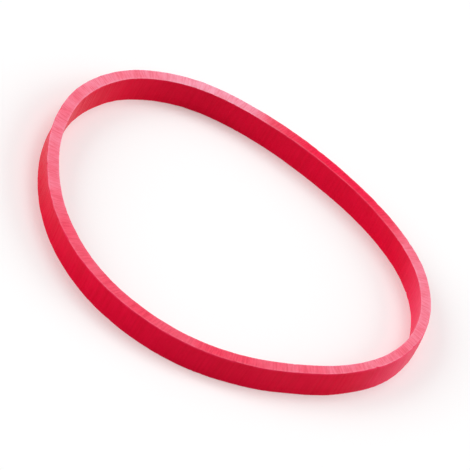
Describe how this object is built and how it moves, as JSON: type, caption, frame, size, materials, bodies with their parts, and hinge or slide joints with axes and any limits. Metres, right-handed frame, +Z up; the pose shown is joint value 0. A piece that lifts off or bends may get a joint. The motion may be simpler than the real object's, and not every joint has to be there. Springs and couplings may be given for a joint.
{
  "type": "rubber band",
  "caption": "Flat-walled rubber band: a closed elastic ring sliced from a tube, lying relaxed on its cut edge, for holding papers, parts and small bundles together.",
  "frame": {"origin": "bottom centre of the band's box, on the surface that it lies on", "axes": "+Z up through the loop, square to the cut faces; +X along the loop's longest way across"},
  "size_m": [0.0432, 0.0406, 0.0032],
  "materials": {
    "red_rubber": "satin red rubber, paler and duller on the two cut faces"
  },
  "bodies": {
    "root": {"rubber_band": "red_rubber"}
  },
  "joints": []
}
